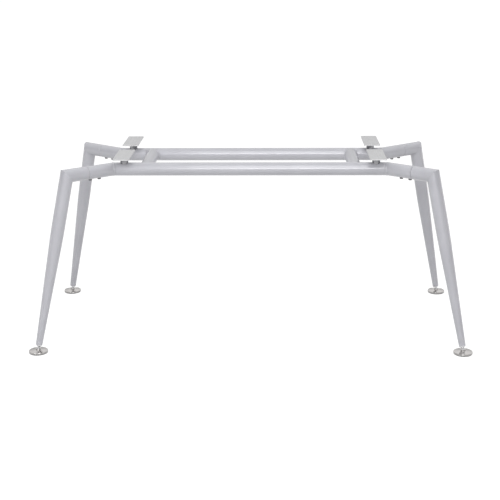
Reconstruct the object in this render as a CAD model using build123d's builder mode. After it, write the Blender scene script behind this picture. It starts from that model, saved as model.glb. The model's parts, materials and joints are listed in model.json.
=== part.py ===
from build123d import *

import os
from math import cos, radians, sin, sqrt, tan

# Four-leg table base in steel tube, in millimetres: two rails with angled ends, joined by two cross tubes,
# four tapered legs bolted to the rail ends, four top plates screwed down on posts, and four levelling feet.
# +X runs along the rails, -Y is the front, +Z is up, and the origin is on the floor under the middle.

# Rails and cross tubes
tube_diameter = 50.0
tube_wall = 2.0
rail_spacing = 280.0
rail_height = 660.0
rail_length = 1040.0
rail_end_length = 113.0
arm_angle = 38.0
cross_tube_from_post = 79.0
weld_gap = 0.2

# Legs
arm_length = 84.0
leg_splay = 13.75
leg_straight = 224.0
leg_tip_diameter = 25.0
taper_blend_radius = 3000.0
seam_gap = 1.2
tube_end_round = 1.5

# Spigots and nut strips
spigot_clearance = 0.15
spigot_wall = 2.5
spigot_to_corner = 38.0
spigot_to_mitre = 14.5
strip_width = 18.0
strip_height = 8.0
strip_margin = 13.0

# Leg screws
screw_diameter = 8.0
screw_from_rail_end = 13.0
screw_from_spigot_end = 24.0
screw_hole_clearance = 0.5
screw_thread_clearance = 0.1
screw_head_diameter = 13.0
screw_head_height = 5.0
screw_head_round = 1.5
screw_past_strip = 1.0
socket_across_flats = 5.0
socket_depth = 3.0

# Posts and top plates
post_from_corner = 43.4
post_diameter = 30.0
post_height = 27.0
post_seat_gap = 0.2
post_chamfer = 0.6
plate_width = 62.0
plate_length = 190.0
plate_thickness = 4.0
plate_corner_radius = 3.0
plate_edge_chamfer = 0.4
plate_hole_diameter = 5.5
plate_hole_from_side = 12.0
plate_hole_from_end = 16.0
plate_screw_diameter = 8.0
plate_screw_head_diameter = 14.8
plate_screw_recess = 0.2
plate_screw_clearance = 0.3
plate_screw_past_nut = 2.0
plate_socket_depth = 2.2
rail_nut_diameter = 11.0
rail_nut_bulge_diameter = 16.0
rail_nut_bulge_height = 9.0
rail_nut_clearance = 0.1

# Levelling feet
disc_diameter = 72.0
disc_rim_height = 6.0
disc_rim_round = 2.0
boss_wall = 3.3
boss_height = 4.7
boss_round = 1.2
boss_foot_round = 2.5
pad_diameter = 70.0
pad_proud = 2.5
pad_seat = 1.0
pad_clearance = 0.1
pad_chamfer = 0.5
ball_diameter = 13.0
ball_clearance = 0.2
ball_floor = 3.3
socket_lip = 0.6
stud_diameter = 7.8
stud_length = 58.0
stud_chamfer = 0.8
stud_clearance = 0.1
plug_gap = 10.5
plug_cone_height = 4.5
plug_neck_diameter = 12.0
plug_cone_step = 1.0
plug_collar_height = 3.0
plug_insert_length = 20.0
plug_clearance = 0.1

tube_radius = tube_diameter / 2
tube_bore_radius = tube_radius - tube_wall
leg_tip_radius = leg_tip_diameter / 2
screw_radius = screw_diameter / 2

# Places along a rail, whose length is measured between the corners where its axis meets the ends' axes
post_x = rail_length / 2 - post_from_corner
cross_tube_x = post_x - cross_tube_from_post

# Spigot and screws: the mitre shortens the underside of the arm by its setback.
mitre_setback = tube_radius * tan(radians((90 - leg_splay) / 2))
spigot_radius = tube_bore_radius - spigot_clearance
spigot_bore_radius = spigot_radius - spigot_wall
spigot_in_rail = rail_end_length - spigot_to_corner
spigot_in_arm = arm_length - mitre_setback - spigot_to_mitre
screw_pitch = spigot_in_rail - screw_from_rail_end - screw_from_spigot_end
strip_drop = sqrt(spigot_bore_radius**2 - (strip_width / 2) ** 2)

# Heights of a top plate, and of the nut in the rail's upper wall that its screw ends in: the nut's sleeve
# is flush with the round of the rail, and its bulge is under the wall.
plate_underside = rail_height + tube_radius + post_height
plate_top = plate_underside + plate_thickness
rail_nut_radius = rail_nut_diameter / 2
rail_nut_bulge_radius = rail_nut_bulge_diameter / 2
rail_nut_top = rail_height + sqrt(tube_radius**2 - rail_nut_radius**2)
rail_nut_shoulder = rail_height + sqrt(tube_bore_radius**2 - rail_nut_bulge_radius**2) - rail_nut_clearance
rail_nut_bottom = rail_nut_shoulder - rail_nut_bulge_height
plate_screw_length = plate_top - plate_screw_recess - rail_nut_bottom + plate_screw_past_nut

# The ball's centre sits over the pad, the socket's floor and the socket itself.
ball_radius = ball_diameter / 2
socket_radius = ball_radius + ball_clearance
socket_lip_radius = ball_radius - socket_lip
boss_radius = socket_radius + boss_wall
ball_height = pad_proud + pad_seat + ball_floor + socket_radius
boss_top = ball_height + sqrt(socket_radius**2 - socket_lip_radius**2)

# Distances up the leg axis from the ball's centre
plug_bottom = plug_gap
collar_bottom = plug_bottom + plug_cone_height
leg_tip = collar_bottom + plug_collar_height
leg_elbow = (rail_height - ball_height) / cos(radians(leg_splay))
taper_start = leg_elbow - leg_straight

UP = Vector(0, 0, 1)


class Corner:
    """One corner of the base, with the points and planes that its pieces are built on."""

    def __init__(self, name, side, depth):
        self.name = name
        splay = radians(leg_splay)
        self.outward = Vector(side * cos(radians(arm_angle)), depth * sin(radians(arm_angle)), 0)
        self.up_leg = UP * cos(splay) - self.outward * sin(splay)
        across = self.outward.cross(UP)

        self.rail_corner = Vector(side * rail_length / 2, depth * rail_spacing / 2, rail_height)
        self.rail_mitre = Plane(origin=self.rail_corner, z_dir=Vector(side, 0, 0) + self.outward)
        self.rail_end = self.rail_corner + self.outward * rail_end_length
        self.elbow = self.rail_end + self.outward * arm_length
        self.ball = self.elbow - self.up_leg * leg_elbow
        self.post = Vector(side * post_x, depth * rail_spacing / 2, rail_height)

        # In the leg section X runs up the leg axis, and in the foot section Y runs up from the floor.
        self.leg_section = Plane(origin=self.ball, x_dir=self.up_leg, z_dir=across)
        self.foot_centre = Vector(self.ball.X, self.ball.Y, 0)
        self.foot_section = Plane(origin=self.foot_centre, x_dir=self.outward, z_dir=across)
        self.mitre = Plane(origin=self.elbow, z_dir=self.outward - self.up_leg)

    def along_arm(self, distance):
        """Plane square to the arm, with its centre on the arm axis this far beyond the rail end."""
        return Plane(origin=self.rail_end + self.outward * distance, x_dir=UP, z_dir=self.outward)

    def at_post(self, height):
        """Point on the post's axis at this height above the floor."""
        return Vector(self.post.X, self.post.Y, height)

    def screw_axes(self):
        """Points on the arm axis that the two leg screws point at."""
        outer = self.rail_end - self.outward * screw_from_rail_end
        return [outer, outer - self.outward * screw_pitch]

    def screw_seats(self):
        """Points on the underside of the rail end where the leg screws' heads sit."""
        return [point - UP * tube_radius for point in self.screw_axes()]


corners = [
    Corner(f"{row}_{hand}", side, depth)
    for row, depth in (("front", -1), ("rear", 1))
    for hand, side in (("left", -1), ("right", 1))
]


def save(piece, name):
    """Label a finished piece and write it to its own file."""
    piece.part.label = name
    export_step(piece.part, f"parts/{name}.step")


def make_rail(row, ends):
    """Straight tube, mitred at both ends and drilled from above for the insert nuts."""
    middle = Vector(0, ends[0].rail_corner.Y, rail_height)
    with BuildPart() as rail:
        with BuildSketch(Plane(origin=middle, x_dir=UP, z_dir=(1, 0, 0))):
            Circle(tube_radius)
            Circle(tube_bore_radius, mode=Mode.SUBTRACT)
        extrude(amount=rail_length / 2 + tube_diameter, both=True)
        for corner in ends:
            split(bisect_by=corner.rail_mitre, keep=Keep.BOTTOM)
        with Locations(*[corner.post + UP * tube_radius for corner in ends]):
            Hole(rail_nut_radius + rail_nut_clearance, depth=tube_radius)
    save(rail, f"{row}_rail")


def make_rail_end(corner):
    """Tube mitred to the rail, open outward as the leg's socket and drilled from below for the leg screws."""
    with BuildPart() as rail_end:
        with BuildSketch(corner.along_arm(0)):
            Circle(tube_radius)
            Circle(tube_bore_radius, mode=Mode.SUBTRACT)
        extrude(amount=-(rail_end_length + tube_diameter))
        open_face = rail_end.faces().sort_by(Axis(corner.rail_end, corner.outward))[-1]
        fillet(open_face.outer_wire().edges(), tube_end_round)
        split(bisect_by=corner.rail_mitre, keep=Keep.TOP)
        with Locations(*corner.screw_seats()):
            Hole(screw_radius + screw_hole_clearance, depth=tube_radius)
    save(rail_end, f"{corner.name}_rail_end")


def make_cross_tube(hand, side):
    """Tube between the rails, coped at both ends to the rails' round."""
    centre = Vector(side * cross_tube_x, 0, rail_height)
    with BuildPart() as cross_tube:
        with BuildSketch(Plane(origin=centre, x_dir=UP, z_dir=(0, 1, 0))):
            Circle(tube_radius)
            Circle(tube_bore_radius, mode=Mode.SUBTRACT)
        extrude(amount=rail_spacing / 2, both=True)
        rail_sides = [Plane(origin=centre + Vector(0, y, 0), x_dir=UP, z_dir=(1, 0, 0))
                      for y in (-rail_spacing / 2, rail_spacing / 2)]
        with BuildSketch(*rail_sides):
            Circle(tube_radius + weld_gap)
        extrude(amount=tube_diameter, both=True, mode=Mode.SUBTRACT)
    save(cross_tube, f"{hand}_cross_tube")


def make_leg_arm(corner):
    """Level tube from the open end of the rail to the mitre at the elbow."""
    with BuildPart() as leg_arm:
        with BuildSketch(corner.along_arm(seam_gap)):
            Circle(tube_radius)
            Circle(tube_bore_radius, mode=Mode.SUBTRACT)
        extrude(amount=arm_length + tube_diameter)
        seam_face = leg_arm.faces().sort_by(Axis(corner.rail_end, corner.outward))[0]
        fillet(seam_face.outer_wire().edges(), tube_end_round)
        split(bisect_by=corner.mitre, keep=Keep.BOTTOM)
    save(leg_arm, f"{corner.name}_leg_arm")


def make_leg(corner):
    """Leg tube, straight below the mitre and then drawn down to a narrow tip."""
    with BuildPart() as leg:
        with BuildSketch(corner.leg_section):
            with BuildLine():
                outside = FilletPolyline(
                    (leg_tip, leg_tip_radius),
                    (taper_start, tube_radius),
                    (leg_elbow + tube_diameter, tube_radius),
                    radius=taper_blend_radius,
                )
                inside = FilletPolyline(
                    (leg_tip, leg_tip_radius - tube_wall),
                    (taper_start, tube_bore_radius),
                    (leg_elbow + tube_diameter, tube_bore_radius),
                    radius=taper_blend_radius,
                )
                Line(outside @ 0, inside @ 0)
                Line(outside @ 1, inside @ 1)
            make_face()
        revolve(axis=Axis(corner.ball, corner.up_leg))
        split(bisect_by=corner.mitre, keep=Keep.TOP)
    save(leg, f"{corner.name}_leg")


def make_spigot(corner):
    """Inner tube that is welded in the leg arm and slides into the rail end."""
    with BuildPart() as spigot:
        with BuildSketch(corner.along_arm(-spigot_in_rail)):
            Circle(spigot_radius)
            Circle(spigot_bore_radius, mode=Mode.SUBTRACT)
        extrude(amount=spigot_in_rail + spigot_in_arm)
        with Locations(*corner.screw_seats()):
            Hole(screw_radius + screw_hole_clearance, depth=tube_radius)
    save(spigot, f"{corner.name}_spigot")


def make_nut_strip(corner):
    """Tapped bar that lies along the bottom of the spigot's bore."""
    outer, inner = corner.screw_axes()
    seat = (outer + inner) * 0.5 - UP * (strip_drop - spigot_clearance)
    with BuildPart() as nut_strip:
        with BuildSketch(Plane(origin=seat, x_dir=corner.outward, z_dir=UP)):
            Rectangle(screw_pitch + 2 * strip_margin, strip_width)
            with Locations((-screw_pitch / 2, 0), (screw_pitch / 2, 0)):
                Circle(screw_radius, mode=Mode.SUBTRACT)
        extrude(amount=strip_height)
    save(nut_strip, f"{corner.name}_nut_strip")


def make_leg_screws():
    """Socket screws under the rail ends, two at each corner."""
    seats = [Plane(origin=seat, z_dir=-UP) for corner in corners for seat in corner.screw_seats()]
    shank_length = tube_radius - strip_drop + spigot_clearance + strip_height + screw_past_strip
    with BuildPart() as leg_screws:
        with BuildSketch(*seats):
            Circle(screw_head_diameter / 2)
        extrude(amount=screw_head_height)
        head_faces = leg_screws.faces().group_by(Axis.Z)[0]
        fillet(head_faces.edges(), screw_head_round)
        with BuildSketch(*[seat.offset(screw_head_height) for seat in seats]):
            RegularPolygon(socket_across_flats / 2, 6, major_radius=False)
        extrude(amount=-socket_depth, mode=Mode.SUBTRACT)
        with BuildSketch(*seats):
            Circle(screw_radius - screw_thread_clearance)
        extrude(amount=-shank_length)
    save(leg_screws, "leg_screws")


def make_post(corner):
    """Round sleeve saddled on the rail, which the plate screw passes through."""
    with BuildPart() as post:
        with BuildSketch(Plane(origin=corner.post)):
            Circle(post_diameter / 2)
            Circle(plate_screw_diameter / 2 + plate_screw_clearance, mode=Mode.SUBTRACT)
        extrude(amount=tube_radius + post_height)
        chamfer(post.faces().sort_by(Axis.Z)[-1].outer_wire().edges(), post_chamfer)
        with BuildSketch(Plane(origin=corner.post, x_dir=UP, z_dir=(1, 0, 0))):
            Circle(tube_radius + post_seat_gap)
        extrude(amount=post_diameter, both=True, mode=Mode.SUBTRACT)
    save(post, f"{corner.name}_post")


def make_rail_nuts():
    """Insert nuts set in the rails' upper walls, one under each post."""
    with BuildPart() as rail_nuts:
        with BuildSketch(*[Plane(origin=corner.at_post(rail_nut_bottom)) for corner in corners]):
            Circle(rail_nut_bulge_radius)
        extrude(amount=rail_nut_bulge_height)
        with BuildSketch(*[Plane(origin=corner.at_post(rail_nut_shoulder)) for corner in corners]):
            Circle(rail_nut_radius)
        extrude(amount=rail_nut_top - rail_nut_shoulder)
        with Locations(*[corner.at_post(rail_nut_top) for corner in corners]):
            Hole(plate_screw_diameter / 2, depth=rail_nut_top - rail_nut_bottom)
    save(rail_nuts, "rail_nuts")


def make_top_plate(corner):
    """Flat bar across the rail, with holes for the table top's screws and a countersink at its middle."""
    with BuildPart() as top_plate:
        with BuildSketch(Plane(origin=corner.at_post(plate_underside))):
            RectangleRounded(plate_width, plate_length, plate_corner_radius)
            hole_rows = plate_width - 2 * plate_hole_from_side
            hole_columns = plate_length - 2 * plate_hole_from_end
            with GridLocations(hole_rows, hole_columns, 2, 2):
                Circle(plate_hole_diameter / 2, mode=Mode.SUBTRACT)
        extrude(amount=plate_thickness)
        chamfer(top_plate.faces().sort_by(Axis.Z)[-1].outer_wire().edges(), plate_edge_chamfer)
        with Locations(corner.at_post(plate_top)):
            CounterSinkHole(
                plate_screw_diameter / 2 + plate_screw_clearance,
                plate_screw_head_diameter / 2 + plate_screw_recess + plate_screw_clearance,
                counter_sink_angle=90,
            )
    save(top_plate, f"{corner.name}_top_plate")


def make_plate_screws():
    """Countersunk screws through the middle of each plate and its post into the rail's nut."""
    head_radius = plate_screw_head_diameter / 2
    shank_radius = plate_screw_diameter / 2 - screw_thread_clearance
    tops = [corner.at_post(plate_top - plate_screw_recess) for corner in corners]
    with BuildPart() as plate_screws:
        with Locations(*tops):
            Cone(shank_radius, head_radius, head_radius - shank_radius,
                 align=(Align.CENTER, Align.CENTER, Align.MAX))
            Cylinder(shank_radius, plate_screw_length, align=(Align.CENTER, Align.CENTER, Align.MAX))
        with BuildSketch(*[Plane(origin=top) for top in tops]):
            RegularPolygon(socket_across_flats / 2, 6, major_radius=False)
        extrude(amount=-plate_socket_depth, mode=Mode.SUBTRACT)
    save(plate_screws, "plate_screws")


def make_leg_plug(corner):
    """Turned plug pressed into the leg's tip, with a collar, a cone below it and a tapped bore."""
    bore_radius = stud_diameter / 2 + stud_clearance
    insert_radius = leg_tip_radius - tube_wall - plug_clearance
    with BuildPart() as leg_plug:
        with BuildSketch(corner.leg_section):
            with BuildLine():
                Polyline(
                    (plug_bottom, bore_radius),
                    (plug_bottom, plug_neck_diameter / 2),
                    (collar_bottom, leg_tip_radius - plug_cone_step),
                    (collar_bottom, leg_tip_radius),
                    (leg_tip, leg_tip_radius),
                    (leg_tip, insert_radius),
                    (leg_tip + plug_insert_length, insert_radius),
                    (leg_tip + plug_insert_length, bore_radius),
                    close=True,
                )
            make_face()
        revolve(axis=Axis(corner.ball, corner.up_leg))
    save(leg_plug, f"{corner.name}_leg_plug")


def make_foot_stud(corner):
    """Threaded stud in the leg plug, with a ball at its lower end."""
    stud_radius = stud_diameter / 2
    neck = sqrt(ball_radius**2 - stud_radius**2)
    with BuildPart() as foot_stud:
        with BuildSketch(corner.leg_section):
            with BuildLine():
                ThreePointArc((-ball_radius, 0), (0, ball_radius), (neck, stud_radius))
                Polyline(
                    (neck, stud_radius),
                    (stud_length - stud_chamfer, stud_radius),
                    (stud_length, stud_radius - stud_chamfer),
                    (stud_length, 0),
                    (-ball_radius, 0),
                )
            make_face()
        revolve(axis=Axis(corner.ball, corner.up_leg))
    save(foot_stud, f"{corner.name}_foot_stud")


def make_foot_disc(corner):
    """Domed disc on the floor, with a boss whose socket holds the stud's ball."""
    disc_radius = disc_diameter / 2
    recess_radius = pad_diameter / 2 + pad_clearance
    recess_top = pad_proud + pad_seat
    rim_top = pad_proud + disc_rim_height
    with BuildPart() as foot_disc:
        with BuildSketch(corner.foot_section):
            with BuildLine():
                FilletPolyline(
                    (0, recess_top),
                    (recess_radius, recess_top),
                    (recess_radius, pad_proud),
                    (disc_radius, pad_proud),
                    (disc_radius, rim_top),
                    (boss_radius, boss_top - boss_height),
                    (boss_radius, boss_top),
                    (socket_lip_radius, boss_top),
                    radius=[0, 0, 0, disc_rim_round, boss_foot_round, boss_round],
                )
                ThreePointArc(
                    (socket_lip_radius, boss_top),
                    (socket_radius, ball_height),
                    (0, ball_height - socket_radius),
                )
                Line((0, ball_height - socket_radius), (0, recess_top))
            make_face()
        revolve(axis=Axis(corner.foot_centre, UP))
    save(foot_disc, f"{corner.name}_foot_disc")


def make_foot_pad(corner):
    """Plastic disc pressed into the foot disc's underside, which meets the floor."""
    with BuildPart() as foot_pad:
        with BuildSketch(Plane(origin=corner.foot_centre)):
            Circle(pad_diameter / 2)
        extrude(amount=pad_proud + pad_seat)
        chamfer(foot_pad.edges().sort_by(Axis.Z)[0], pad_chamfer)
    save(foot_pad, f"{corner.name}_foot_pad")


os.makedirs("parts", exist_ok=True)
make_rail("front", corners[:2])
make_rail("rear", corners[2:])
make_cross_tube("left", -1)
make_cross_tube("right", 1)
for corner in corners:
    make_rail_end(corner)
    make_leg_arm(corner)
    make_leg(corner)
    make_spigot(corner)
    make_nut_strip(corner)
    make_post(corner)
    make_top_plate(corner)
    make_leg_plug(corner)
    make_foot_stud(corner)
    make_foot_disc(corner)
    make_foot_pad(corner)
make_leg_screws()
make_plate_screws()
make_rail_nuts()
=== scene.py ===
import json
from math import asin, ceil, cos, pi, radians, sin, sqrt

import bmesh
import bpy
from mathutils import Matrix, Vector


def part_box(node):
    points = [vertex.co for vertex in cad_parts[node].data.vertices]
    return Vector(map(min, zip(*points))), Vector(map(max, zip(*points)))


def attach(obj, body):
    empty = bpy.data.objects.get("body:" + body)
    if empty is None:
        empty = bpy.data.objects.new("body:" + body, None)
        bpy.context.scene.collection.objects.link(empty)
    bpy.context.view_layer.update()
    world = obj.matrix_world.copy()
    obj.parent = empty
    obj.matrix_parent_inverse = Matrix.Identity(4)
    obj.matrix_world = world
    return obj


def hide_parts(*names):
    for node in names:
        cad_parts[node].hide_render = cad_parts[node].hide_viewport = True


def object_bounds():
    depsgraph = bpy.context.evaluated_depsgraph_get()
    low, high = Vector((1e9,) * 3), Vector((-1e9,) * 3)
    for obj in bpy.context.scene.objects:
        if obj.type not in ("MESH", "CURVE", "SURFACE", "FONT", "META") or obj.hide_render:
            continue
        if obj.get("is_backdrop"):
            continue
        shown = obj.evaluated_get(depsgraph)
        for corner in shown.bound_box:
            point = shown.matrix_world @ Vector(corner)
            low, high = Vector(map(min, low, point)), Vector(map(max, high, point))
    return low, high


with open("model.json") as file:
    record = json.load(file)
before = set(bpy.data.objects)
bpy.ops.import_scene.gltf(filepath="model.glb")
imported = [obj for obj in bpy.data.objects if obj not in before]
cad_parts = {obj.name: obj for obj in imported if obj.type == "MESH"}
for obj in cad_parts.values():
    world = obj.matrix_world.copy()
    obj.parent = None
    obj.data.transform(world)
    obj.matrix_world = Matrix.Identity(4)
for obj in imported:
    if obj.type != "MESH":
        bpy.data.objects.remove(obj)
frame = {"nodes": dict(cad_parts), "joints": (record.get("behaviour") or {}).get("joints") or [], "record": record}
cad_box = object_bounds()

# What the frame gives, in metres: the tubes, and for each corner its foot's ball and its leg's axis
nodes = frame["nodes"]
joints = {joint["name"]: joint for joint in frame["joints"]}
CORNERS = [f"{row}_{hand}" for row in ("front", "rear") for hand in ("left", "right")]
rail_low, rail_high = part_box("front_rail")
tube_radius = (rail_high.z - rail_low.z) / 2
rail_height = (rail_high.z + rail_low.z) / 2
rail_offset = -(rail_high.y - tube_radius)
ball_of = {name: Vector(joints[f"{name}_foot_tilt"]["pos_m"]) for name in CORNERS}
up_leg_of = {name: -Vector(joints[f"{name}_foot_height"]["axis"]) for name in CORNERS}

# Camera, as the photograph's perspective gives it: angles in degrees, places in metres
CAMERA_PLACE = Vector((0.1001, -4.1536, 1.5328))
CAMERA_PITCH = 16.556
CAMERA_YAW = -1.456
CAMERA_ROLL = -0.383
CAMERA_LENS = 77.84
CAMERA_SENSOR = 36.0
CAMERA_REACH = 640.0

# Studio light: the walls' level, what the ceiling adds to it, and how far up its full level starts
WALL_LEVEL = 0.40
CEILING_GAIN = 0.47
CEILING_EDGE = 0.55
# What each wall adds: the axis that it stands across, the side that it is on, and its gain
WALL_GAINS = {
    "left": ("X", -1, -0.20),
    "right": ("X", 1, -0.06),
    "front": ("Y", -1, -0.33),
    "rear": ("Y", 1, 0.06),
}
# Softboxes: place, width and height in metres, and how bright they look
SOFTBOXES = {
    "front_softbox": ((0.19, -4.70, 2.15), (1.73, 1.0), 8.9),
    "top_softbox": ((0.18, -2.15, 2.90), (1.35, 2.4), 2.4),
    "left_softbox": ((-2.20, -2.60, 2.00), (0.9, 0.9), 7.2),
}

# Floor and backdrop: sizes in metres, colour and glow as seen, and the colour that they bounce
FLOOR_SIZE = 160.0
FLOOR_COLOUR = (0.42, 0.42, 0.42)
FLOOR_GLOW = 0.74
BACKDROP_RADIUS = 78.0
BACKDROP_HEIGHT = 9.0
BACKDROP_SEGMENTS = 96
BACKDROP_COLOUR = (0.02, 0.02, 0.02)
BACKDROP_GLOW = 0.99
STAGE_BOUNCE = (0.43, 0.43, 0.43)
WHITE = (1, 1, 1, 1)

# Materials: the range that most of a noise lies in, and the pitch of tool marks in metres
NOISE_LOW = 0.3
NOISE_HIGH = 0.7
TOOL_MARK_PITCH = 0.0004
# Chrome: how level a face is where a disc's rim ends and its top starts, and the painted shade on the rim, as the
# share of the chrome's tone that is left there
RIM_TURN = (0.2, 0.75)
RIM_PAINTED_SHADE = 0.5

# Weld beads, in metres: the leg of the bead on each tube, its crown, its ripples and its root
WELD_LEG = 0.0036
WELD_CROWN = 0.0005
WELD_RIPPLE = 0.00022
WELD_RIPPLE_PITCH = 0.0032
WELD_STEPS_PER_RIPPLE = 6
WELD_SECTION_STEPS = 8
WELD_ROOT_DEPTH = 0.0012
# Mitre beads: leg and crown in metres, and the ripple as a share of the crown
ELBOW_WELD = (0.0020, 0.00020)
RAIL_WELD = (0.0045, 0.0005)
MITRE_WELD_RIPPLE = 0.06
# Below this a cosine counts as nought
SQUARE_LIMIT = 1e-6

# Foot studs: an M8 coarse thread, from above the ball's neck to the chamfer at the top, in metres
THREAD_PITCH = 0.00125
THREAD_DEPTH = 0.00062
THREAD_RUN_OUT = 0.0015
STUD_CHAMFER = 0.0008
STUD_STEPS = 36
STUD_ROWS_PER_PITCH = 8
BALL_ROWS = 24


class NodeGraph:
    """Nodes of a material or world, which are added one by one."""

    def __init__(self, owner):
        owner.use_nodes = True
        self.tree = owner.node_tree
        self.tree.nodes.clear()

    def add(self, kind, inputs=None, **settings):
        node = self.tree.nodes.new(kind)
        for name, value in settings.items():
            setattr(node, name, value)
        for name, value in (inputs or {}).items():
            socket = node.inputs[name]
            if isinstance(value, bpy.types.NodeSocket):
                self.tree.links.new(value, socket)
            else:
                socket.default_value = value
        return node

    def math(self, operation, first, second=0.0):
        return self.add("ShaderNodeMath", {0: first, 1: second}, operation=operation).outputs[0]

    def blend(self, first, second, share):
        """Number made of this share of the first value and the rest of the second."""
        return self.math(
            "ADD",
            self.math("MULTIPLY", first, share),
            self.math("MULTIPLY", second, 1 - share),
        )

    def place(self):
        """Place on the object, which textures follow."""
        return self.add("ShaderNodeTexCoord").outputs["Object"]

    def stretched(self, place, scale):
        """Place scaled along each axis by itself, for marks that run one way."""
        inputs = {"Vector": place, "Scale": scale}
        return self.add("ShaderNodeMapping", inputs).outputs["Vector"]

    def noise(self, vector, scale, detail=2.0, roughness=0.5):
        inputs = {"Vector": vector, "Scale": scale, "Detail": detail, "Roughness": roughness}
        return self.add("ShaderNodeTexNoise", inputs).outputs["Fac"]

    def ramp(self, value, dark, light, start=NOISE_LOW, end=NOISE_HIGH):
        """Colour that goes from dark to light as the value goes from start to end."""
        node = self.add("ShaderNodeValToRGB", {"Fac": value})
        stops = node.color_ramp.elements
        stops[0].position = start
        stops[0].color = (*dark, 1)
        stops[1].position = end
        stops[1].color = (*light, 1)
        return node.outputs["Color"]

    def spread(self, value, low, high, start=NOISE_LOW, end=NOISE_HIGH):
        """Number that goes from low to high as the value goes from start to end."""
        inputs = {
            "Value": value,
            "From Min": start,
            "From Max": end,
            "To Min": low,
            "To Max": high,
        }
        return self.add("ShaderNodeMapRange", inputs).outputs["Result"]

    def bump(self, height, strength, distance):
        inputs = {"Height": height, "Strength": strength, "Distance": distance}
        return self.add("ShaderNodeBump", inputs).outputs["Normal"]

    def surface(self, **inputs):
        """Principled surface, whose inputs are given with underscores for spaces."""
        named = {name.replace("_", " "): value for name, value in inputs.items()}
        shader = self.add("ShaderNodeBsdfPrincipled", named)
        self.add("ShaderNodeOutputMaterial", {"Surface": shader.outputs["BSDF"]})


def new_material(name):
    """New material, its graph of nodes, and the place that its textures follow."""
    material = bpy.data.materials.new(name)
    graph = NodeGraph(material)
    return material, graph, graph.place()


def silver_paint():
    """Silver metallic paint: fine flakes, a slight cloudiness, and the orange peel of a spray."""
    material, graph, place = new_material("silver_metallic_paint")
    flake = graph.noise(place, scale=2600.0, detail=1.0)
    cloud = graph.noise(place, scale=9.0, detail=3.0)
    tone = graph.blend(flake, cloud, share=0.45)
    peel = graph.noise(place, scale=420.0, detail=2.0)
    dark, light = (0.486, 0.486, 0.524), (0.558, 0.557, 0.598)
    graph.surface(
        Base_Color=graph.ramp(tone, dark, light, start=0.32, end=0.68),
        Metallic=0.15,
        Roughness=graph.spread(flake, low=0.36, high=0.44),
        Coat_Weight=0.8,
        Coat_Roughness=0.12,
        Normal=graph.bump(peel, strength=0.12, distance=0.0003),
    )
    return material


def zinc_plate():
    """Dull zinc on hot-rolled bar, with rolling streaks along the bar and faint blooms."""
    material, graph, place = new_material("dull_zinc")
    along = graph.stretched(place, (900.0, 18.0, 900.0))
    streak = graph.noise(along, scale=1.0, detail=3.0)
    bloom = graph.noise(place, scale=140.0, detail=4.0, roughness=0.6)
    tone = graph.blend(streak, bloom, share=0.5)
    graph.surface(
        Base_Color=graph.ramp(tone, (0.560, 0.560, 0.567), (0.760, 0.760, 0.767)),
        Metallic=0.65,
        Roughness=graph.spread(bloom, low=0.50, high=0.64),
        Normal=graph.bump(streak, strength=0.10, distance=0.0002),
    )
    return material


def chrome():
    """Chrome with a faint polishing haze: bright on a disc's top, with painted shade that darkens its turned rim.
    """
    material, graph, place = new_material("bright_chrome")
    haze = graph.noise(place, scale=160.0, detail=4.0, roughness=0.65)
    ripple = graph.noise(place, scale=55.0, detail=1.0)
    normal = graph.add("ShaderNodeTexCoord").outputs["Normal"]
    upward = graph.add("ShaderNodeSeparateXYZ", {"Vector": normal}).outputs["Z"]
    level = graph.math("ABSOLUTE", upward)
    # Painted shade: the base colour is darkened to half on the disc's upright rim and kept full on its level top.
    rim_painted_shade = graph.spread(level, RIM_PAINTED_SHADE, 1.0, *RIM_TURN)
    tone = graph.ramp(haze, (0.622, 0.604, 0.594), (0.724, 0.704, 0.693))
    shade = graph.add("ShaderNodeVectorMath", {0: tone, "Scale": rim_painted_shade}, operation="SCALE")
    graph.surface(
        Base_Color=shade.outputs["Vector"],
        Metallic=1.0,
        Roughness=graph.spread(haze, low=0.05, high=0.13),
        Normal=graph.bump(ripple, strength=0.10, distance=0.0008),
    )
    return material


def ground_steel():
    """Dark ground steel of the posts, with fine marks round them."""
    material, graph, place = new_material("ground_steel")
    around = graph.stretched(place, (60.0, 60.0, 2500.0))
    marks = graph.noise(around, scale=1.0, detail=2.0)
    graph.surface(
        Base_Color=graph.ramp(marks, (0.20, 0.20, 0.21), (0.31, 0.31, 0.32)),
        Metallic=1.0,
        Roughness=graph.spread(marks, low=0.14, high=0.24),
        Normal=graph.bump(marks, strength=0.10, distance=0.0001),
    )
    return material


def turned_steel(name, axis):
    """Bright turned steel with fine tool rings round the given axis."""
    material, graph, place = new_material(f"turned_steel_{name}")
    along = graph.add("ShaderNodeVectorMath", {0: place, 1: axis}, operation="DOT_PRODUCT")
    turns = graph.math("MULTIPLY", along.outputs["Value"], 2 * pi / TOOL_MARK_PITCH)
    rings = graph.math("SINE", turns)
    speck = graph.noise(place, scale=900.0, detail=3.0)
    graph.surface(
        Base_Color=graph.ramp(speck, (0.58, 0.58, 0.59), (0.70, 0.70, 0.71)),
        Metallic=1.0,
        Roughness=graph.spread(speck, low=0.22, high=0.34),
        Normal=graph.bump(rings, strength=0.25, distance=0.00006),
    )
    return material


def blackened_steel():
    """Oil-blackened screw steel, a little lighter where it is handled."""
    material, graph, place = new_material("blackened_steel")
    mottle = graph.noise(place, scale=700.0, detail=4.0, roughness=0.6)
    graph.surface(
        Base_Color=graph.ramp(mottle, (0.10, 0.10, 0.105), (0.26, 0.26, 0.268), end=0.72),
        Metallic=0.8,
        Roughness=graph.spread(mottle, low=0.32, high=0.5),
        Normal=graph.bump(mottle, strength=0.15, distance=0.0001),
    )
    return material


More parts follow.
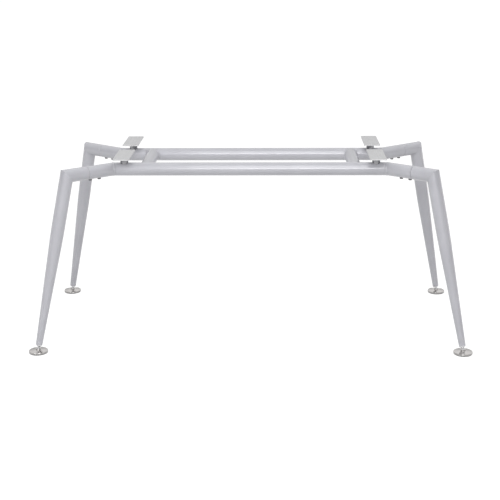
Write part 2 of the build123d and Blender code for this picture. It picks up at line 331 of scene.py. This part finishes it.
def plain_steel():
    """Drawn steel inside the tubes, with a thin oily film."""
    material, graph, place = new_material("drawn_steel")
    film = graph.noise(place, scale=130.0, detail=4.0, roughness=0.6)
    grain = graph.noise(place, scale=1400.0, detail=2.0)
    graph.surface(
        Base_Color=graph.ramp(film, (0.34, 0.34, 0.345), (0.45, 0.45, 0.455)),
        Metallic=1.0,
        Roughness=graph.spread(film, low=0.34, high=0.5),
        Normal=graph.bump(grain, strength=0.12, distance=0.0001),
    )
    return material


def pad_plastic():
    """Moulded black plastic with a fine matt grain."""
    material, graph, place = new_material("moulded_black_plastic")
    grain = graph.noise(place, scale=1800.0, detail=3.0)
    cloud = graph.noise(place, scale=60.0, detail=2.0)
    graph.surface(
        Base_Color=graph.ramp(cloud, (0.022, 0.022, 0.024), (0.034, 0.034, 0.036)),
        Roughness=graph.spread(grain, low=0.48, high=0.62),
        Normal=graph.bump(grain, strength=0.3, distance=0.0001),
    )
    return material


def new_piece(name, mesh, material, body):
    """Object for a finished bmesh, with its material and the body that it rides on."""
    data = bpy.data.meshes.new(name)
    bmesh.ops.recalc_face_normals(mesh, faces=mesh.faces)
    for face in mesh.faces:
        face.smooth = True
    mesh.to_mesh(data)
    mesh.free()
    data.materials.append(material)
    piece = bpy.data.objects.new(name, data)
    bpy.context.scene.collection.objects.link(piece)
    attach(piece, body)
    return piece


def skin_rings(mesh, rings, close=False):
    """Quads between one ring of points and the next, capped at both ends unless the run closes."""
    loops = [[mesh.verts.new(point) for point in ring] for ring in rings]
    pairs = list(zip(loops, loops[1:]))
    if close:
        pairs.append((loops[-1], loops[0]))
    for here, there in pairs:
        for i in range(len(here)):
            j = (i + 1) % len(here)
            mesh.faces.new((here[i], here[j], there[j], there[i]))
    if not close:
        mesh.faces.new(loops[0])
        mesh.faces.new(reversed(loops[-1]))


def bead_section(seam, toes, outward, crown):
    """Section of a bead: from one toe over its crown to the other, and its root under the seam."""
    ring = []
    middle = toes[0].lerp(toes[1], 0.5)
    swell = crown + max(0.0, (seam - middle).dot(outward))
    for i in range(WELD_SECTION_STEPS + 1):
        u = i / WELD_SECTION_STEPS
        # The crown is a parabola, nought at the toes and 1 half way.
        ring.append(toes[0].lerp(toes[1], u) + outward * swell * 4 * u * (1 - u))
    ring.append(min(seam, middle, key=outward.dot) - outward * WELD_ROOT_DEPTH)
    return ring


def bead_ring(seam, along, normals, projects, leg, crown):
    """Section of the bead in the corner between two tubes, with a toe on each."""
    toes = []
    other = (normals[1], normals[0])
    for normal, project, facing in zip(normals, projects, other):
        away = normal.cross(along)
        if away.dot(facing) < SQUARE_LIMIT:
            away = -away
        toes.append(project(seam + away.normalized() * leg))
    return bead_section(seam, toes, (normals[0] + normals[1]).normalized(), crown)


def onto_tube(start, axis, radius):
    """Function that puts a point on the round of a tube."""
    def project(point):
        offset = point - start
        offset -= axis * offset.dot(axis)
        return point - offset + offset.normalized() * radius
    return project


def cross_tube_weld(mesh, centre_x, side):
    """Two beads round one end of a cross tube, one down each side, where it meets the rail."""
    rail_centre = Vector((0, side * rail_offset, rail_height))
    tube_centre = Vector((centre_x, 0, rail_height))
    projects = (
        onto_tube(tube_centre, Vector((0, 1, 0)), tube_radius),
        onto_tube(rail_centre, Vector((1, 0, 0)), tube_radius),
    )
    ripples = ceil(pi * tube_radius / WELD_RIPPLE_PITCH)
    steps = ripples * WELD_STEPS_PER_RIPPLE
    for hand in (-1, 1):
        rings = []
        for i in range(steps + 1):
            angle = pi * (i / steps - 0.5)
            seam = Vector((
                centre_x + hand * tube_radius * cos(angle),
                side * (rail_offset - tube_radius * cos(angle)),
                rail_height + tube_radius * sin(angle),
            ))
            along = Vector((-hand * sin(angle), side * sin(angle), cos(angle))).normalized()
            normals = (
                Vector((hand * cos(angle), 0, sin(angle))),
                Vector((0, -side * cos(angle), sin(angle))),
            )
            crown = WELD_CROWN + WELD_RIPPLE * sin(2 * pi * i / WELD_STEPS_PER_RIPPLE)
            rings.append(bead_ring(seam, along, normals, projects, WELD_LEG, crown))
        skin_rings(mesh, rings)


def mitre_weld(mesh, joint, first, second, leg, crown):
    """Low bead round a mitre, between two tubes that run from the joint the two ways given."""
    across = first.cross(second).normalized()
    projects = (onto_tube(joint, first, tube_radius), onto_tube(joint, second, tube_radius))
    # The mitre is an ellipse in the plane between the two tubes.
    long_axis = (first + second).normalized()
    stretch = 1 / long_axis.cross(first).length
    ripples = ceil(2 * pi * tube_radius * stretch / WELD_RIPPLE_PITCH)
    steps = ripples * WELD_STEPS_PER_RIPPLE
    rings = []
    for i in range(steps):
        angle = 2 * pi * i / steps
        offset = across * tube_radius * cos(angle) + long_axis * tube_radius * stretch * sin(angle)
        outward = Vector((0, 0, 0))
        for axis in (first, second):
            outward += (offset - axis * offset.dot(axis)).normalized()
        outward.normalize()
        swell = crown * (1 + MITRE_WELD_RIPPLE * sin(2 * pi * i / WELD_STEPS_PER_RIPPLE))
        seam = joint + offset
        toes = [project(seam + axis * leg) for project, axis in zip(projects, (first, second))]
        rings.append(bead_section(seam, toes, outward, swell))
    skin_rings(mesh, rings, close=True)


def stud_profile(ball_radius, stud_radius, stud_length):
    """Height of the neck over the ball's middle, and the plain stud's heights with their radii."""
    neck = sqrt(ball_radius**2 - stud_radius**2)
    profile = []
    for i in range(1, BALL_ROWS + 1):
        angle = (pi - asin(stud_radius / ball_radius)) * i / BALL_ROWS
        profile.append((-ball_radius * cos(angle), ball_radius * sin(angle)))
    rows = ceil((stud_length - neck) / THREAD_PITCH * STUD_ROWS_PER_PITCH)
    for i in range(1, rows + 1):
        profile.append((neck + (stud_length - neck) * i / rows, stud_radius))
    return neck, profile


def threaded_stud(mesh, name):
    """Foot stud with its ball and neck as in the CAD, and a screw thread cut in its shank."""
    ball, up_leg = ball_of[name], up_leg_of[name]
    offsets = [vertex.co - ball for vertex in nodes[f"{name}_foot_stud"].data.vertices]
    heights = [offset.dot(up_leg) for offset in offsets]
    ball_radius, stud_length = -min(heights), max(heights)
    stud_radius = max(
        offset.cross(up_leg).length
        for offset, height in zip(offsets, heights)
        if height > ball_radius
    )
    neck, profile = stud_profile(ball_radius, stud_radius, stud_length)
    side = up_leg.orthogonal().normalized()
    front = up_leg.cross(side)
    rings = []
    for height, radius in profile:
        run_out = min(1.0, max(0.0, (height - neck) / THREAD_RUN_OUT))
        chamfered = radius - max(0.0, STUD_CHAMFER - (stud_length - height))
        ring = []
        for i in range(STUD_STEPS):
            turn = i / STUD_STEPS
            # The thread is a triangle, 1 at its crest and nought at its root.
            crest = abs((height / THREAD_PITCH - turn) % 1.0 - 0.5) * 2
            cut = radius - THREAD_DEPTH * (1 - crest) * run_out
            spoke = side * cos(2 * pi * turn) + front * sin(2 * pi * turn)
            ring.append(ball + up_leg * height + spoke * min(chamfered, cut))
        rings.append(ring)
    skin_rings(mesh, rings)


def make_camera():
    """Camera that sees the object as the photograph does."""
    pitch, yaw, roll = radians(CAMERA_PITCH), radians(CAMERA_YAW), radians(CAMERA_ROLL)
    forward = Vector((sin(yaw) * cos(pitch), cos(yaw) * cos(pitch), -sin(pitch)))
    level = Vector((cos(yaw), -sin(yaw), 0))
    upright = level.cross(forward)
    right = cos(roll) * level + sin(roll) * upright
    upward = -sin(roll) * level + cos(roll) * upright
    data = bpy.data.cameras.new("photo_camera")
    data.lens = CAMERA_LENS
    data.sensor_width = CAMERA_SENSOR
    data.clip_end = CAMERA_REACH
    camera = bpy.data.objects.new("photo_camera", data)
    bpy.context.scene.collection.objects.link(camera)
    turn = Matrix((right, upward, -forward)).transposed().to_4x4()
    camera.matrix_world = Matrix.Translation(CAMERA_PLACE) @ turn
    bpy.context.scene.camera = camera


def make_world():
    """White studio: pale walls, each with its own level, under a brighter ceiling."""
    world = bpy.data.worlds.new("studio")
    bpy.context.scene.world = world
    graph = NodeGraph(world)
    direction = graph.add("ShaderNodeTexCoord").outputs["Generated"]
    towards = graph.add("ShaderNodeSeparateXYZ", {"Vector": direction}).outputs
    rise = {
        "Value": towards["Z"],
        "From Max": CEILING_EDGE,
        "To Min": WALL_LEVEL,
        "To Max": WALL_LEVEL + CEILING_GAIN,
    }
    ceiling = graph.add("ShaderNodeMapRange", rise, interpolation_type="SMOOTHSTEP")
    level = ceiling.outputs["Result"]
    for axis, side, gain in WALL_GAINS.values():
        facing = graph.math("MAXIMUM", graph.math("MULTIPLY", towards[axis], side), 0.0)
        level = graph.math("ADD", level, graph.math("MULTIPLY", facing, gain))
    background = graph.add("ShaderNodeBackground", {"Color": WHITE, "Strength": level})
    graph.add("ShaderNodeOutputWorld", {"Surface": background.outputs["Background"]})


def make_softbox(name, place, size, level):
    """Soft lamp, turned to the middle of the rails, that looks this bright."""
    data = bpy.data.lights.new(name, "AREA")
    data.shape = "RECTANGLE"
    data.size, data.size_y = size
    data.energy = level * pi * size[0] * size[1]
    softbox = bpy.data.objects.new(name, data)
    bpy.context.scene.collection.objects.link(softbox)
    softbox.location = place
    aim = Vector(place) - Vector((0, 0, rail_height))
    softbox.rotation_euler = aim.to_track_quat("Z", "Y").to_euler()
    softbox.visible_camera = False


def make_stage(name, mesh, colour, glow):
    """Pale piece of the stage. It glows to rays that see or mirror it, and bounces other light."""
    data = bpy.data.meshes.new(name)
    mesh.to_mesh(data)
    mesh.free()
    material = bpy.data.materials.new(f"pale_{name}")
    graph = NodeGraph(material)
    ray = graph.add("ShaderNodeLightPath").outputs
    mirrored = graph.math("ADD", ray["Is Glossy Ray"], ray["Is Transmission Ray"])
    seen = graph.math("ADD", ray["Is Camera Ray"], mirrored)
    tone = graph.ramp(seen, STAGE_BOUNCE, colour, start=0.0, end=1.0)
    diffuse = graph.add("ShaderNodeBsdfDiffuse", {"Color": tone})
    strength = graph.math("MULTIPLY", seen, glow)
    emission = graph.add("ShaderNodeEmission", {"Color": WHITE, "Strength": strength})
    layers = {0: diffuse.outputs["BSDF"], 1: emission.outputs["Emission"]}
    shader = graph.add("ShaderNodeAddShader", layers)
    graph.add("ShaderNodeOutputMaterial", {"Surface": shader.outputs["Shader"]})
    data.materials.append(material)
    piece = bpy.data.objects.new(name, data)
    bpy.context.scene.collection.objects.link(piece)
    piece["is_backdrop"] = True


def make_floor():
    """Pale floor that runs past the backdrop."""
    mesh = bmesh.new()
    bmesh.ops.create_grid(mesh, x_segments=1, y_segments=1, size=FLOOR_SIZE / 2)
    make_stage("floor", mesh, FLOOR_COLOUR, FLOOR_GLOW)


def make_backdrop():
    """White wall far off all round, which hides the horizon."""
    mesh = bmesh.new()
    bmesh.ops.create_cone(
        mesh,
        segments=BACKDROP_SEGMENTS,
        radius1=BACKDROP_RADIUS,
        radius2=BACKDROP_RADIUS,
        depth=BACKDROP_HEIGHT,
        matrix=Matrix.Translation((0, 0, BACKDROP_HEIGHT / 2)),
    )
    make_stage("backdrop", mesh, BACKDROP_COLOUR, BACKDROP_GLOW)


paint = silver_paint()
finishes = {
    "silver_paint": paint,
    "zinc_plate": zinc_plate(),
    "chrome": chrome(),
    "dark_screw": blackened_steel(),
    "plain_steel": plain_steel(),
    "pad_plastic": pad_plastic(),
}
post_steel = ground_steel()
turned = {name: turned_steel(name, up_leg_of[name]) for name in CORNERS}
for part in frame["record"]["subparts"]:
    finish = part["material_slot"]
    if finish == "turned_steel":
        corner = next(name for name in CORNERS if part["node"].startswith(name))
        material = turned[corner]
    elif part["node"].endswith("_post"):
        material = post_steel
    else:
        material = finishes[finish]
    nodes[part["node"]].data.materials.clear()
    nodes[part["node"]].data.materials.append(material)

for hand in ("left", "right"):
    low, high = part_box(f"{hand}_cross_tube")
    beads = bmesh.new()
    for side in (-1, 1):
        cross_tube_weld(beads, (low.x + high.x) / 2, side)
    new_piece(f"{hand}_cross_tube_welds", beads, paint, "frame")

for name in CORNERS:
    ball, up_leg = ball_of[name], up_leg_of[name]
    outward = Vector((-up_leg.x, -up_leg.y, 0)).normalized()
    elbow = ball + up_leg * ((rail_height - ball.z) / up_leg.z)
    rail_corner = elbow - outward * ((abs(elbow.y) - rail_offset) / abs(outward.y))
    along_rail = Vector((-rail_corner.x, 0, 0)).normalized()
    bead = bmesh.new()
    mitre_weld(bead, elbow, -outward, -up_leg, *ELBOW_WELD)
    new_piece(f"{name}_elbow_weld", bead, paint, "frame")
    bead = bmesh.new()
    mitre_weld(bead, rail_corner, along_rail, outward, *RAIL_WELD)
    new_piece(f"{name}_rail_weld", bead, paint, "frame")
    stud = bmesh.new()
    threaded_stud(stud, name)
    piece = new_piece(f"{name}_threaded_stud", stud, turned[name], f"{name}_stud")
    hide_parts(f"{name}_foot_stud")

make_floor()
make_backdrop()
make_world()
for name, (place, size, level) in SOFTBOXES.items():
    make_softbox(name, place, size, level)
make_camera()
bpy.context.scene.view_settings.view_transform = "Standard"

boxes = {"cad": cad_box, "visual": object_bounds()}
{name: [list(corner) for corner in box] for name, box in boxes.items()}
